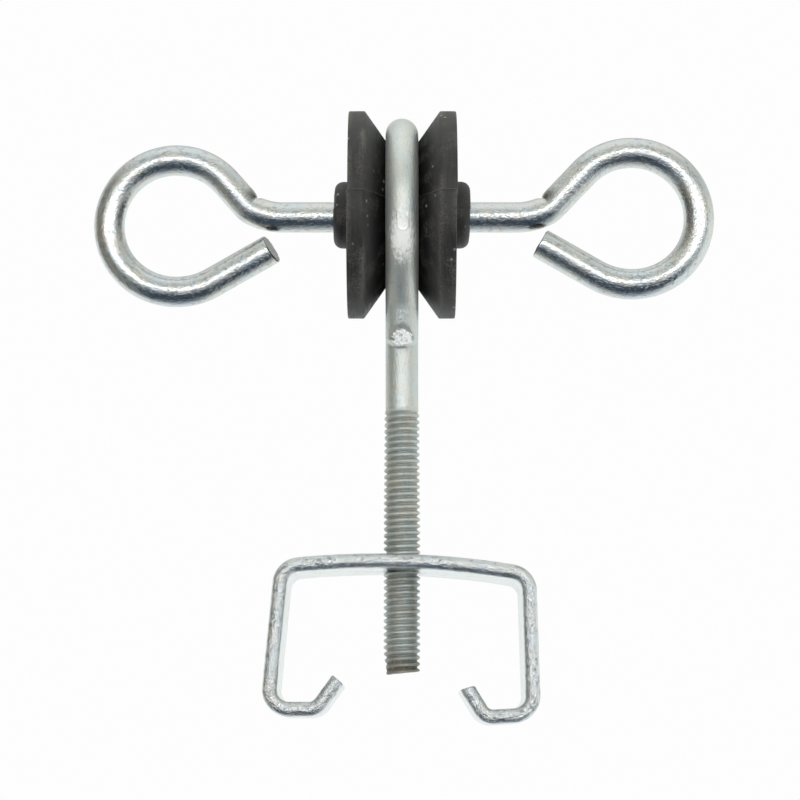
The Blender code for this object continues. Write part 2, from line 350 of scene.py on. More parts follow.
def finish_mesh(name, points, faces, straight, grime_and_shade=None, crease=CREASE):
    """A smooth-shaded mesh in metres. straight holds each point's place on the unbent bar."""
    mesh = bpy.data.meshes.new(name)
    mesh.from_pydata([point * MM for point in points], [], faces)
    attribute = mesh.attributes.new("straight", "FLOAT_VECTOR", "POINT")
    attribute.data.foreach_set("vector", [value for place in straight for value in place])
    marks = mesh.attributes.new("grime_and_shade", "FLOAT", "POINT")
    marks.data.foreach_set("value", grime_and_shade or [0.0] * len(points))
    mesh.validate()
    work = bmesh.new()
    work.from_mesh(mesh)
    bmesh.ops.recalc_face_normals(work, faces=work.faces)
    work.to_mesh(mesh)
    work.free()
    mesh.shade_smooth()
    mesh.set_sharp_from_angle(angle=crease)
    return mesh


def quads(row_count, side_count, closed):
    """Quads between rings of points. closed joins the last ring to the first one as well."""
    faces = []
    for row in range(row_count if closed else row_count - 1):
        below = (row + 1) % row_count
        for side in range(side_count):
            after = (side + 1) % side_count
            faces.append((row * side_count + side, row * side_count + after,
                          below * side_count + after, below * side_count + side))
    return faces


def end_fans(row_count, side_count):
    """A fan at each end, to a middle point. The two middle points come after the rings."""
    faces = []
    first_middle = row_count * side_count
    for row, middle in ((0, first_middle), (row_count - 1, first_middle + 1)):
        for side in range(side_count):
            after = (side + 1) % side_count
            faces.append((row * side_count + side, row * side_count + after, middle))
    return faces


class Rings:
    """Rings of points along a bar, with their places on the unbent bar and how much dirt and
    painted shade they carry.
    """

    def __init__(self):
        self.points = []
        self.straight = []
        self.grime_and_shade = []

    def add(self, points, straight, grime_and_shade):
        self.points.append(points)
        self.straight.append(straight)
        self.grime_and_shade.append(grime_and_shade)

    def skin(self, name):
        """A closed mesh over the rings."""
        count = len(self.points)
        sides = len(self.points[0])
        points = [point for ring in self.points for point in ring]
        straight = [place for ring in self.straight for place in ring]
        grime_and_shade = [value for ring in self.grime_and_shade for value in ring]
        for end in (0, -1):
            points.append(sum(self.points[end], Vector()) / sides)
            straight.append(sum(self.straight[end], Vector()) / sides)
            grime_and_shade.append(self.grime_and_shade[end][0])
        faces = quads(count, sides, False) + end_fans(count, sides)
        return finish_mesh(name, points, faces, straight, grime_and_shade)


def cut_profile(radius):
    """Steps over a cut end, from its rim to near its middle, as (distance on, inset)."""
    steps = [(0.0, 0.0)]
    for step in range(1, CUT_EDGE_STEPS + 1):
        angle = math.pi / 2 * step / CUT_EDGE_STEPS
        steps.append((CUT_EDGE * math.sin(angle), CUT_EDGE * (1 - math.cos(angle))))
    for share in CUT_FACE_SHARES:
        steps.append((CUT_EDGE, CUT_EDGE + (radius - CUT_EDGE) * share))
    return steps


class Plane:
    """The plane that a bar is bent in: it places a flat point, and a push out of the plane."""

    def __init__(self, origin, across, up):
        self.origin = Vector(origin)
        self.across = Vector(across)
        self.up = Vector(up)
        self.out = self.across.cross(self.up)

    def place(self, flat, out):
        return self.origin + self.across * flat.x + self.up * flat.y + self.out * out


def tube_ring(plane, station, radius_at, shift=lambda side, out: 0.0, inset=0.0):
    """One ring of points round a bar, with their places on the unbent bar."""
    point, heading, far = station
    along = pointing(heading)
    side_way = pointing(heading + math.pi / 2)
    ring = []
    straight = []
    for angle in round_the_wire():
        radius = radius_at(far, angle) - inset
        side = math.cos(angle) * radius
        out = math.sin(angle) * radius
        move = shift(side, out)
        ring.append(plane.place(point + side_way * side + along * move, out))
        straight.append(Vector((far + move, side, out)))
    return ring, straight


def rough_cut(far, depth, tilt):
    """How far a sheared face stands on from a square cut, by the place on it."""
    slope = math.tan(tilt)

    def shift(side, out):
        place = Vector((side * CUT_RIPPLE_RATE, out * CUT_RIPPLE_RATE, far))
        ripple = noise.noise(place) * depth
        return ripple + out * slope
    return shift


def tube(name, plane, track, radius_at, darkening_at, start_cut, end_cut):
    """A bent bar with a sheared face at each end. A cut is (depth of its ripples, tilt)."""
    rings = Rings()

    def add(station, shift, inset):
        points, straight = tube_ring(plane, station, radius_at, shift, inset)
        if inset > CUT_EDGE / 2:
            grime_and_shade = [CUT_GRIME] * WIRE_SIDES
        else:
            grime_and_shade = [darkening_at(station[2], angle) for angle in round_the_wire()]
        rings.add(points, straight, grime_and_shade)

    def add_end(station, way, cut):
        ripple = rough_cut(station[2], *cut)
        profile = cut_profile(radius_at(station[2], 0.0))
        if way < 0:
            profile.reverse()
        for onward, inset in profile:
            step = way * (onward - CUT_EDGE)
            add(station, lambda side, out: step + ripple(side, out), inset)

    add_end(track[0], -1, start_cut)
    for station in track:
        if CUT_CLEARANCE < station[2] < track[-1][2] - CUT_CLEARANCE:
            add(station, lambda side, out: 0.0, 0.0)
    add_end(track[-1], 1, end_cut)
    return rings.skin(name)


def make_piece(name, mesh, material, body, node):
    """Puts a mesh in the scene as a piece that rides on a body. node is what it replaces."""
    piece = bpy.data.objects.new(name, mesh)
    bpy.context.scene.collection.objects.link(piece)
    mesh.materials.clear()
    mesh.materials.append(material)
    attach(piece, body)
    if node:
        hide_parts(node)
    return piece


# ---------------------------------------------------------------- the rod

def rod_surface(creases):
    """The rod's radius: a little uneven, and pinched on the inside of each neck's tight bend."""
    def radius_at(far, angle):
        radius = ROD_RADIUS + ROD_UNEVEN * bar_waves(far, angle, along=0.12, around=0.9)
        inside = max(0.0, math.cos(angle)) ** 3
        for crease in creases:
            off = (far - crease) / CREASE_LENGTH
            radius -= CREASE_DEPTH * inside * math.exp(-off * off)
        return radius
    return radius_at


def rod_crease_reflection(creases):
    """A painted dark reflection on the inside of each neck, just past its crease."""
    def darkening_at(far, angle):
        inside = max(0.0, math.cos(angle - CREASE_STREAK_TURN)) ** 6
        grime_and_shade = 0.0
        for crease, way in zip(creases, (-1, 1)):
            past = (far - crease) * way
            grime_and_shade += inside * blend(*CREASE_STREAK_START, past) * blend(*CREASE_STREAK_END, past)
        return min(1.0, grime_and_shade)
    return darkening_at


def half_track(end):
    """Half of the rod, drawn along -X, and how far along it the neck's tight bend lies."""
    ring_centre = Vector((-abs(end["ring"].x), end["ring"].y))
    neck_start = Vector((-end["straight"], -ROD_DROP))
    steps, heading = bend_neck(ROD_NECK, neck_start, ring_centre, RING_RADIUS)
    bend_radius, bend_turn = steps[1]
    neck_curve = ROD_NECK["curve"] * ROD_NECK["turn"]
    crease = end["straight"] + neck_curve + bend_radius * abs(bend_turn) / 2
    steps.append((RING_RADIUS, RING_TAIL_HEADING + math.tau - heading - RING_OPENING_TURN))
    steps.append((RING_OPENING_RADIUS, RING_OPENING_TURN))
    steps.append((end["tail"], 0))
    start = Vector((0.0, -ROD_DROP))
    return walk_bends(start, math.pi, [(end["straight"], 0)] + steps), crease


def rod_track():
    """From the left ring's cut end, along the straight, to the right ring's cut end."""
    left, left_crease = half_track(LEFT_END)
    right, right_crease = half_track(RIGHT_END)
    length = left[-1][2]
    track = []
    for point, heading, far in reversed(left):
        track.append((point, heading + math.pi, length - far))
    for point, heading, far in right[1:]:
        track.append((Vector((-point.x, point.y)), math.pi - heading, length + far))
    return track, (length - left_crease, length + right_crease)


def build_rod(material):
    plane = Plane((0, 0, SPOOL_AXIS_Z), (1, 0, 0), (0, 0, 1))
    track, creases = rod_track()
    mesh = tube("ring_rod", plane, track, rod_surface(creases), rod_crease_reflection(creases),
                (CUT_RIPPLE, LEFT_CUT_TILT), (CUT_RIPPLE, 0.0))
    make_piece("ring_rod", mesh, material, "rod", "loop_rod")


# ---------------------------------------------------------------- the eye bolt

def thread_share(z, angle):
    """0 in the thread's root and 1 on its crest, for a right-hand thread."""
    phase = ((z - THREAD_TOP_Z) / PITCH - angle / math.tau) % 1.0
    off_crest = min(phase, 1.0 - phase) * 2
    return blend(1 - ROOT_SHARE, CREST_SHARE, off_crest)


def thread_surface(z, angle):
    """Radius of the bolt's threaded end at a height and an angle from +X towards the back."""
    crest = CREST_RADIUS + (CREST_RADIUS_TOP - CREST_RADIUS) * blend(WEB_TOP_Z, THREAD_TOP_Z, z)
    cut = blend(THREAD_TOP_Z + RUN_IN, THREAD_TOP_Z - RUN_OUT, z)
    root = SHANK_RADIUS + (ROOT_RADIUS - SHANK_RADIUS) * cut
    crest = SHANK_RADIUS + (crest - SHANK_RADIUS) * cut
    nicks = noise.noise(Vector((math.cos(angle) * NICKS_AROUND, math.sin(angle) * NICKS_AROUND,
                                z * NICKS_ALONG)))
    worn = blend(TIP_Z + WORN_LENGTH, TIP_Z, z)
    on_left = 0.5 - 0.5 * math.cos(angle)
    crest -= (worn * (WORN_CREST + WORN_CREST_LEFT * on_left * on_left)
              + (NICK_DEPTH + WORN_NICKS * worn) * max(0.0, nicks))
    return root + max(0.0, crest - root) * thread_share(z, angle)


def thread_dirt_and_shade(z, angle, level):
    """How dark the thread is made: dirt and painted shade in its root, dirt at the bolt's tip, and
    a little above the clip.
    """
    dirt_and_shade = (1 - thread_share(z, angle)) * blend(THREAD_TOP_Z + 0.5, THREAD_TOP_Z - 1, z)
    dirt_and_shade = ROOT_DIRT_AND_SHADE * dirt_and_shade + TIP_DIRT * blend(TIP_Z + TIP_DIRT_LENGTH, TIP_Z, z)
    if level > WEB_TOP_Z:
        dirt_and_shade += UPPER_DIRT * blend(THREAD_TOP_Z + 0.5, THREAD_TOP_Z - 2, z)
    return min(1.0, dirt_and_shade)


def tip_rise(angle):
    """How far the bolt's cut end stands above TIP_Z: it is slanted and uneven."""
    ripple = noise.noise(Vector((math.cos(angle) * 1.3, math.sin(angle) * 1.3, 5.0)))
    return TIP_SLANT * math.cos(angle) + TIP_RIPPLE * ripple


def add_upright_ring(rings, z_at, radius_at, dirt_and_shade_at):
    """One ring of the bolt's straight end, where height, radius, and dirt with painted shade go by
    the angle.
    """
    points = []
    straight = []
    grime_and_shade = []
    for angle in round_the_wire():
        z = z_at(angle)
        radius = radius_at(z, angle)
        side = math.cos(angle) * radius
        back = math.sin(angle) * radius
        points.append(Vector((side, back, z)))
        straight.append(Vector((THREAD_TOP_Z - z, -back, side)))
        grime_and_shade.append(dirt_and_shade_at(z, angle))
    rings.add(points, straight, grime_and_shade)


def add_tip(rings):
    """The bolt's cut end, from near its middle outward."""
    for share in TIP_SHARES:
        add_upright_ring(
            rings,
            lambda angle: TIP_Z + tip_rise(angle) * share + TIP_HOLLOW * (1 - share),
            lambda z, angle: share * ROOT_RADIUS,
            lambda z, angle: 1.0)


def add_thread(rings):
    """The thread from the tip to just above its run-out."""
    count = math.ceil((THREAD_TOP_Z + 1 - TIP_Z) / THREAD_STEP)
    for row in range(count + 1):
        level = TIP_Z + THREAD_STEP * row
        slant = blend(TIP_Z + TIP_SLANT_LENGTH, TIP_Z, level)
        chamfer = TIP_CHAMFER if row == 0 else 0.0
        add_upright_ring(
            rings,
            lambda angle: level + tip_rise(angle) * slant,
            lambda z, angle: thread_surface(z, angle) - chamfer,
            lambda z, angle: thread_dirt_and_shade(z, angle, level))


def eye_track():
    """The plain shank, the neck, the eye and its tail, with the spool's axis as the origin."""
    neck_start = Vector((EYE_NECK_BELOW_AXIS, 0.0))
    steps, heading = bend_neck(EYE_NECK, neck_start, Vector((0.0, 0.0)), EYE_RADIUS)
    steps.append((EYE_RADIUS, EYE_TAIL_HEADING + math.tau - heading))
    steps += [(EYE_TAIL_SLANT, 0), (EYE_TAIL_BEND_RADIUS, -EYE_TAIL_BEND), (EYE_TAIL_END, 0)]
    shank_start = Vector((SPOOL_AXIS_Z - THREAD_TOP_Z - RUN_OUT, 0.0))
    shank = (shank_start - neck_start).length
    return walk_bends(shank_start, math.pi, [(shank, 0)] + steps)


def eye_radius_at(far, angle):
    """The plain wire's radius, a little uneven once it is clear of the thread."""
    waves = SHANK_UNEVEN * bar_waves(far, angle, along=0.1, around=0.8)
    return SHANK_RADIUS + waves * blend(0, 3, far)


def front_of_tail(track, plane):
    """The tail's front surface, as y, where its facet starts."""
    facet_z = SPOOL_AXIS_Z - FACET_TOP_BELOW_AXIS
    fronts = []
    for station in track[len(track) // 2:]:
        for point in tube_ring(plane, station, eye_radius_at)[0]:
            if abs(point.z - facet_z) < FACET_BAND:
                fronts.append(point.y)
    return min(fronts)


def cut_facet(ring, facet_front):
    """Cuts the tail's end off along a slanting facet that faces down and forward."""
    for point in ring:
        below = SPOOL_AXIS_Z - FACET_TOP_BELOW_AXIS - point.z
        if below > 0 and point.y < 0:
            point.y = max(point.y, facet_front + below * FACET_SLOPE)


def add_eye(rings):
    """The plain shank and the eye. Its rings start a quarter turn on, to meet the thread's."""
    plane = Plane((0, 0, SPOOL_AXIS_Z), (0, 0, -1), (0, 1, 0))
    track = eye_track()
    length = track[-1][2]
    facet_front = front_of_tail(track, plane)
    plain = [(station, 0.0, 0.0) for station in track[:-2]]
    closing = [(track[-1], onward - CUT_EDGE, inset)
               for onward, inset in cut_profile(SHANK_RADIUS)]
    quarter = WIRE_SIDES // 4
    for station, onward, inset in plain + closing:
        ring, places = tube_ring(plane, station, eye_radius_at, lambda side, out: onward, inset)
        if station[2] > length - EYE_TAIL_END - EYE_RADIUS:
            cut_facet(ring, facet_front)
        places = [Vector((-RUN_OUT - place.x, place.y, place.z)) for place in places]
        rings.add(ring[quarter:] + ring[:quarter], places[quarter:] + places[:quarter],
                  [0.0] * WIRE_SIDES)


def build_bolt_mesh():
    """One skin from the tip, up the thread and the shank, and round the eye to its tail."""
    rings = Rings()
    add_tip(rings)
    add_thread(rings)
    add_eye(rings)
    return rings.skin("bolt")


def lump_mesh(name, centre, size, swell):
    """An ellipsoid whose surface swells by swell(ray), centred by its place from the axis."""
    work = bmesh.new()
    bmesh.ops.create_icosphere(work, subdivisions=LUMP_SUBDIVISIONS, radius=1.0)
    for vert in work.verts:
        ray = vert.co.normalized()
        vert.co = Vector((ray.x * size.x, ray.y * size.y, ray.z * size.z)) * swell(ray)
        vert.co += centre + Vector((0, 0, SPOOL_AXIS_Z))
    points = [vert.co.copy() for vert in work.verts]
    faces = [tuple(vert.index for vert in face.verts) for face in work.faces]
    work.free()
    straight = [Vector((-point.z, point.y, point.x)) for point in points]
    return finish_mesh(name, points, faces, straight, crease=LUMP_CREASE)


def bead_swell(ray):
    """Overlapping blobs with pits between them."""
    lumps = noise.noise(ray * 1.7 + Vector((3, 1, 7))) * BEAD_LUMPS
    pits = abs(noise.noise(ray * 2.9 + Vector((8, 2, 0))))
    blobs = (BEAD_PIT_LEVEL - pits) * BEAD_BLOBS
    return 1.0 + lumps + blobs


def fillet_swell(ray):
    """Nearly smooth."""
    return 1.0 + FILLET_LUMPS * noise.noise(ray * 2.5)


def build_bolt(material, weld_material):
    make_piece("bolt", build_bolt_mesh(), material, "bolt", "eye_bolt")
    bead = lump_mesh("weld_bead", WELD_CENTRE, WELD_SIZE, bead_swell)
    make_piece("weld_bead", bead, weld_material, "bolt", None)
    fillet = lump_mesh("weld_fillet", FILLET_CENTRE, FILLET_SIZE, fillet_swell)
    make_piece("weld_fillet", fillet, material, "bolt", None)


# ---------------------------------------------------------------- the spool

def groove_wall_x(radius):
    """The groove's wall, as x: it clears the eye's wire by the running gap."""
    beside_eye = (SHANK_RADIUS + RUNNING_GAP) / math.cos(GROOVE_HALF_ANGLE)
    return beside_eye + (radius - EYE_RADIUS) * math.tan(GROOVE_HALF_ANGLE)


def spool_outline():
    """The spool's closed section as (x, radius) points, with its moulded roundings."""
    # From the middle of the groove to the bore, each corner with the radius of its rounding
    half = [
        ((groove_wall_x(GROOVE_FLOOR_RADIUS), GROOVE_FLOOR_RADIUS), 0.15),
        ((groove_wall_x(FLANGE_RADIUS), FLANGE_RADIUS), 0.5),
        ((FLANGE_OUTER_X, FLANGE_RADIUS), 0.3),
        ((FLANGE_OUTER_X, HUB_RADIUS), 0.35),
        ((HUB_END_X, HUB_RADIUS), 1.9),
        ((HUB_END_X, BORE_RADIUS), 0.4),
    ]
    other = [((-place[0], place[1]), radius) for place, radius in reversed(half)]
    corners = [place for place, radius in half + other]
    radii = [radius for place, radius in half + other]
    return rounded(corners, radii)


def split_long_edges(outline, longest):
    """Adds points to a closed outline, so that no edge is longer than longest."""
    fine = []
    for index, point in enumerate(outline):
        after = outline[(index + 1) % len(outline)]
        pieces = max(1, math.ceil((after - point).length / longest))
        for piece in range(pieces):
            fine.append(point.lerp(after, piece / pieces))
    return fine


def spool_angles():
    """Angles round the spool, from the front upward, with close steps at the parting lines."""
    close = [line + off for line in (PARTING_ANGLE, PARTING_ANGLE + math.pi)
             for off in PARTING_OFFSETS]
    even = [SPOOL_STEP * step for step in range(round(math.tau / SPOOL_STEP))]
    clear = [angle for angle in even
             if all(abs(angle - near) > SPOOL_STEP / 3 for near in close)]
    return sorted(close + clear)


def rim_distance(x, radius):
    """How far a point of the spool's section is from the nearest corner of a flange's rim."""
    return min(math.hypot(abs(x) - corner, radius - FLANGE_RADIUS)
               for corner in (groove_wall_x(FLANGE_RADIUS), FLANGE_OUTER_X))


def spool_rub(x, radius, angle, flash_share):
    """How rubbed the surface is: pale on the flash, and in patches along the flanges' rims."""
    patch = noise.noise(Vector((x * 0.25, math.cos(angle) * 2.5, math.sin(angle) * 2.5)))
    on_rim = blend(*RIM_RUB, rim_distance(x, radius)) * blend(*RIM_PATCHES, patch)
    return max(FLASH_RUB * flash_share, on_rim)


def build_spool(material):
    """The turned section, with its two halves a little out of line and flash between them."""
    outline = split_long_edges(spool_outline(), SPOOL_EDGE)
    angles = spool_angles()
    points = []
    straight = []
    rubbed = []
    for angle in angles:
        off_line = math.sin(angle - PARTING_ANGLE)
        half = PARTING_STEP * max(-1.0, min(1.0, off_line / PARTING_HALF_WIDTH))
        flash = FLASH_HEIGHT * max(0.0, 1 - abs(off_line) / FLASH_HALF_WIDTH)
        for x, radius in outline:
            on_outside = blend(BORE_RADIUS + FLASH_START[0], BORE_RADIUS + FLASH_START[1], radius)
            wave = noise.noise(Vector((x * 0.3, angle * 2.0, radius * 0.3)))
            grown = radius + flash * on_outside + SPOOL_UNEVEN * wave
            points.append(Vector((x + half * on_outside, -math.cos(angle) * grown,
                                  SPOOL_AXIS_Z + math.sin(angle) * grown)))
            straight.append(Vector((x, angle * radius, radius)))
            rubbed.append(spool_rub(x, radius, angle, flash / FLASH_HEIGHT * on_outside))
    faces = quads(len(angles), len(outline), True)
    mesh = finish_mesh("spool", points, faces, straight, rubbed, SPOOL_CREASE)
    make_piece("spool", mesh, material, "spool", "spool_insulator")


# ---------------------------------------------------------------- the post clip

def clip_side(hook):
    """Track of one side of the clip, from the web's centre to the hook's tip, drawn to +X."""
    down = -math.pi / 2 + LEG_SPLAY
    floor = -math.pi - hook["floor_slope"]
    tip = -math.pi - hook["tip_slope"]
    return walk_bends(Vector((0.0, -STRIP_THICKNESS / 2)), 0.0, [
        (WEB_ARCH_RADIUS, -WEB_HALF_TURN),
        (CLIP_CORNER_RADIUS, down + WEB_HALF_TURN),
        (hook["leg"], 0),
        (HOOK_BEND_RADIUS, floor - down),
        (hook["floor"], 0),
        (HOOK_TIP_RADIUS, tip - floor),
        (hook["tip"], 0),
    ])


def clip_track():
    """The whole strip from the left tip to the right one."""
    left = clip_side(LEFT_HOOK)
    length = left[-1][2]
    track = []
    for point, heading, far in reversed(left[1:]):
        track.append((Vector((-point.x, point.y)), -heading, length - far))
    for point, heading, far in clip_side(RIGHT_HOOK):
        track.append((point, heading, length + far))
    return track


def strip_section(inset):
    """The strip's section as (through, across) points, its sheared edges well rounded."""
    through = STRIP_THICKNESS / 2 - inset
    across = STRIP_WIDTH / 2 - inset
    radius = STRIP_ROUNDING - min(inset, STRIP_ROUNDING - 0.05)
    corners = [(through, across), (-through, across), (-through, -across), (through, -across)]
    outline = rounded(corners, [radius] * len(corners), STRIP_ROUNDING_STEPS)
    fine = []
    for index, point in enumerate(outline):
        after = outline[(index + 1) % len(outline)]
        pieces = STRIP_WIDTH_STEPS if abs(after.y - point.y) > across else 1
        for piece in range(pieces):
            fine.append(point.lerp(after, piece / pieces))
    return fine


def clip_mesh():
    """The strip's section drawn along its track and stood where the bolt goes through it."""
    track = clip_track()
    to_world = (Matrix.Translation((0, 0, WEB_TOP_Z)) @ Matrix.Rotation(CLIP_ROLL, 4, "Y")
                @ Matrix.Translation((CLIP_OFF_CENTRE, 0, 0)))
    far_rate, through_rate, across_rate = STRIP_WAVE_RATES
    rings = Rings()

    def add(station, onward, inset, tilt=0.0):
        point, heading, far = station
        normal = pointing(heading + math.pi / 2)
        along = pointing(heading)
        points = []
        straight = []
        for through, across in strip_section(inset):
            place = Vector((far * far_rate, through * through_rate, across * across_rate))
            ripple = noise.noise(place) * STRIP_UNEVEN
            size = 1 + ripple / STRIP_THICKNESS
            flat = point + normal * (through * size) + along * (onward + through * tilt)
            wide = across * (1 + ripple / STRIP_WIDTH)
            points.append(to_world @ Vector((flat.x, wide, flat.y)))
            straight.append(Vector((far + onward, through, across)))
        on_cut = inset > CUT_EDGE / 2
        rings.add(points, straight, [STRIP_CUT_GRIME if on_cut else 0.0] * len(points))

    ending = cut_profile(STRIP_THICKNESS / 2)
    for onward, inset in reversed(ending):
        add(track[0], CUT_EDGE - onward, inset, LEFT_TIP_TILT)
    for station in track:
        if TIP_REACH < station[2] < track[-1][2] - TIP_REACH:
            add(station, 0.0, 0.0)
    for onward, inset in ending:
        add(track[-1], onward - CUT_EDGE, inset, RIGHT_TIP_TILT)
    return rings.skin("clip")


def make_drill():
    """A cylinder that stands in for the drill, on the bolt's axis."""
    mesh = bpy.data.meshes.new("drill")
    work = bmesh.new()
    bmesh.ops.create_cone(work, cap_ends=True, segments=WIRE_SIDES, radius1=HOLE_RADIUS * MM,
                          radius2=HOLE_RADIUS * MM, depth=4 * STRIP_THICKNESS * MM)
    bmesh.ops.translate(work, vec=(0, 0, WEB_TOP_Z * MM), verts=work.verts)
    work.to_mesh(mesh)
    work.free()
    drill = bpy.data.objects.new("drill", mesh)
    bpy.context.scene.collection.objects.link(drill)
    return drill


def clear_slivers(mesh):
    """Splits the faces that a hole left with many corners, and takes out the thinnest ones."""
    work = bmesh.new()
    work.from_mesh(mesh)
    bmesh.ops.triangulate(work, faces=[face for face in work.faces if len(face.verts) > 4])
    bmesh.ops.dissolve_degenerate(work, edges=work.edges, dist=SLIVER * MM)
    work.to_mesh(mesh)
    work.free()


def drill_hole(clip):
    """Cuts the bolt's hole through the web, and keeps the result as the clip's own mesh."""
    drill = make_drill()
    modifier = clip.modifiers.new("hole", "BOOLEAN")
    modifier.object = drill
    modifier.solver = "EXACT"
    bpy.context.view_layer.update()
    shown = clip.evaluated_get(bpy.context.evaluated_depsgraph_get())
    drilled = bpy.data.meshes.new_from_object(shown)
    clear_slivers(drilled)
    clip.modifiers.clear()
    clip.data = drilled
    bpy.data.objects.remove(drill)


def build_clip(material):
    clip = make_piece("clip", clip_mesh(), material, "clip", "post_clip")
    drill_hole(clip)


# ---------------------------------------------------------------- materials

class Look:
    """Builds nodes in a tree. Each method adds one node and returns its output."""

    def __init__(self, tree):
        self.tree = tree

    def node(self, kind, settings=None, inputs=None):
        made = self.tree.nodes.new(kind)
        for name, value in (settings or {}).items():
            setattr(made, name, value)
        for name, value in (inputs or {}).items():
            self.put(made.inputs[name], value)
        return made

    def put(self, socket, value):
        if isinstance(value, bpy.types.NodeSocket):
            self.tree.links.new(value, socket)
        else:
            socket.default_value = value

    def attribute(self, name, output):
        return self.node("ShaderNodeAttribute", {"attribute_name": name}).outputs[output]

    def solid(self):
        return self.node("ShaderNodeTexCoord").outputs["Object"]

    def split(self, vector):
        return self.node("ShaderNodeSeparateXYZ", None, {"Vector": vector}).outputs

    def stretched(self, vector, scale):
        made = self.node("ShaderNodeMapping", None, {"Vector": vector, "Scale": scale})
        return made.outputs["Vector"]

    def length(self, vector):
        made = self.node("ShaderNodeVectorMath", {"operation": "LENGTH"}, {0: vector})
        return made.outputs["Value"]

    def noise(self, vector, scale, detail=4.0, roughness=0.55):
        made = self.node("ShaderNodeTexNoise", None, {
            "Vector": vector, "Scale": scale, "Detail": detail, "Roughness": roughness})
        return made.outputs["Fac"]

    def cells(self, vector, scale):
        made = self.node("ShaderNodeTexVoronoi", None, {"Vector": vector, "Scale": scale})
        return made.outputs["Distance"]

    def rise(self, value, low, high, to_low=0.0, to_high=1.0):
        made = self.node("ShaderNodeMapRange", {"interpolation_type": "SMOOTHSTEP"}, {
            "Value": value, "From Min": low, "From Max": high, "To Min": to_low, "To Max": to_high})
        return made.outputs["Result"]

    def math(self, operation, first, second=0.0):
        made = self.node("ShaderNodeMath", {"operation": operation})
        self.put(made.inputs[0], first)
        self.put(made.inputs[1], second)
        return made.outputs["Value"]

    def times(self, first, second):
        return self.math("MULTIPLY", first, second)

    def plus(self, first, second):
        return self.math("ADD", first, second)

    def mix(self, share, first, second):
        made = self.node("ShaderNodeMix", {"data_type": "RGBA"})
        self.put(made.inputs[0], share)
        self.put(made.inputs[6], first)
        self.put(made.inputs[7], second)
        return made.outputs[2]

    def bump(self, height, depth_mm, under=None):
        """Relief of a depth in mm, laid over another relief if one is given."""
        made = self.node("ShaderNodeBump", None, {"Height": height, "Distance": depth_mm * MM})
        if under:
            self.put(made.inputs["Normal"], under)
        return made.outputs["Normal"]


class Finish(Look):
    """A material with one shader, whose sockets are set and read by name."""

    def __init__(self, name):
        self.material = bpy.data.materials.new(name)
        self.material.use_nodes = True
        super().__init__(self.material.node_tree)
        self.sockets = self.tree.nodes["Principled BSDF"].inputs

    def set(self, name, value):
        self.put(self.sockets[name], value)

    def place(self):
        """The place on the unbent bar, in mm."""
        return self.attribute("straight", "Vector")

    def grime_and_shade(self):
        return self.attribute("grime_and_shade", "Fac")

    def on_eye_front(self):
        """1 on the front of the eye, where its marks are."""
        return self.rise(self.split(self.solid())["Y"], EYE_FRONT_Y[0] * MM, EYE_FRONT_Y[1] * MM)

    def fed(self, name):
        """What is linked to a socket so far."""
        return self.sockets[name].links[0].from_socket


def zinc(name, cool, warm, polish, dull, grain_size, grain_depth, stretch, pit_depth, blotched,
         metal=1.0):
    """Zinc plate on steel: cloudy tint, grain drawn out along the bar, specks, pits, and dirt with
    painted shade laid on in soot colour.

    polish and dull are the lowest and highest roughness. Sizes and depths are in mm.
    """
    finish = Finish(name)
    place = finish.place()
    drawn = finish.stretched(place, (1 / stretch, 1.0, 1.0))
    grain = finish.noise(drawn, 1 / grain_size, 2.0, 0.6)
    specks = finish.noise(place, 4.0, 3.0, 0.6)
    clouds = finish.noise(drawn, 0.3, 3.0, 0.6)
    blotches = finish.noise(drawn, 1.1, 4.0, 0.65)
    pits = finish.rise(finish.noise(drawn, 2.3, 2.0), 0.53, 0.61)
    # Dirt and painted shade carried by the mesh, laid on in soot colour
    soiled_and_shaded = finish.times(finish.grime_and_shade(), finish.rise(specks, 0.25, 0.6, to_low=0.55))
    colour = finish.mix(finish.rise(clouds, 0.35, 0.65), cool, warm)
    colour = finish.mix(finish.rise(specks, 0.58, 0.74, to_high=0.4), colour, SOOT_AND_SHADE)
    colour = finish.mix(finish.rise(blotches, 0.53, 0.66, to_high=blotched), colour, BLOTCH)
    finish.set("Base Color", finish.mix(soiled_and_shaded, colour, SOOT_AND_SHADE))
    finish.set("Metallic", metal)
    rough = finish.rise(clouds, 0.3, 0.7, polish, dull)
    finish.set("Roughness", finish.plus(rough, finish.times(soiled_and_shaded, 0.3)))
    grained = finish.bump(finish.plus(grain, finish.times(specks, 0.5)), grain_depth)
    finish.set("Normal", finish.bump(pits, pit_depth, grained))
    return finish


def smooth_flats(finish):
    """Leaves a strip's rolled faces smoother than its sheared edges, which face along Y."""
    facing = finish.node("ShaderNodeTexCoord").outputs["Normal"]
    along = finish.math("ABSOLUTE", finish.split(facing)["Y"])
    relief = finish.rise(along, 0.4, 0.9, to_low=FLAT_RELIEF)
    for node in finish.tree.nodes:
        if node.type == "BUMP":
            finish.put(node.inputs["Strength"], relief)


